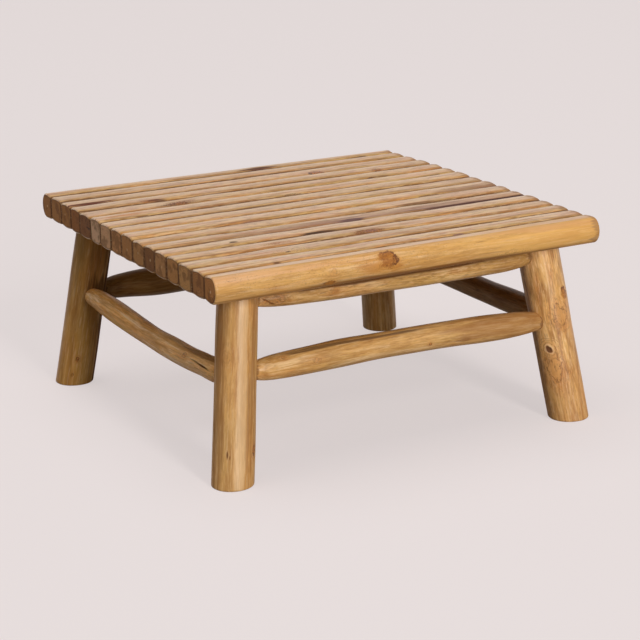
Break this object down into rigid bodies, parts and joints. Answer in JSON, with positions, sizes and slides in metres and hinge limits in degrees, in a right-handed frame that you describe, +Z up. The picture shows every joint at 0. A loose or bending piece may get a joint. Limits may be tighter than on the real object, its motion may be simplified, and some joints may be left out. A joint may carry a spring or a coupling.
{
  "type": "low table",
  "caption": "Low square slatted table of teak poles laid edge to edge, on splayed round legs with lower stretchers, aprons and side rails tenoned in.",
  "frame": {"origin": "on the floor, under the centre of the top", "axes": "+Z up, +X along the top poles towards the right-hand side, +Y towards the back; the front is the side of the one rounded pole whose apron and stretcher the picture shows whole"},
  "size_m": [0.8, 0.7936, 0.392],
  "materials": {
    "teak_poles": "sanded natural teak, oiled satin",
    "teak_legs": "debarked natural teak, oiled satin",
    "teak_rails": "debarked natural teak, oiled satin",
    "dowel_wood": "plain turned hardwood, unfinished",
    "screw_steel": "zinc-plated steel"
  },
  "bodies": {
    "root": {"top_pole_01": "teak_poles", "top_pole_02": "teak_poles", "top_pole_03": "teak_poles", "top_pole_04": "teak_poles", "top_pole_05": "teak_poles", "top_pole_06": "teak_poles", "top_pole_07": "teak_poles", "top_pole_08": "teak_poles", "top_pole_09": "teak_poles", "top_pole_10": "teak_poles", "top_pole_11": "teak_poles", "top_pole_12": "teak_poles", "top_pole_13": "teak_poles", "top_pole_14": "teak_poles", "top_pole_15": "teak_poles", "top_pole_16": "teak_poles", "leg_front_left": "teak_legs", "leg_front_right": "teak_legs", "leg_back_left": "teak_legs", "leg_back_right": "teak_legs", "stretcher_front": "teak_rails", "stretcher_back": "teak_rails", "stretcher_left": "teak_rails", "stretcher_right": "teak_rails", "apron_front": "teak_rails", "apron_back": "teak_rails", "side_rail_left": "teak_rails", "side_rail_right": "teak_rails", "tie_dowel_left": "dowel_wood", "tie_dowel_middle": "dowel_wood", "tie_dowel_right": "dowel_wood", "leg_peg_front_left": "dowel_wood", "leg_peg_front_right": "dowel_wood", "leg_peg_back_left": "dowel_wood", "leg_peg_back_right": "dowel_wood", "rail_screw_left_1": "screw_steel", "rail_screw_left_2": "screw_steel", "rail_screw_left_3": "screw_steel", "rail_screw_left_4": "screw_steel", "rail_screw_right_1": "screw_steel", "rail_screw_right_2": "screw_steel", "rail_screw_right_3": "screw_steel", "rail_screw_right_4": "screw_steel"}
  },
  "joints": []
}
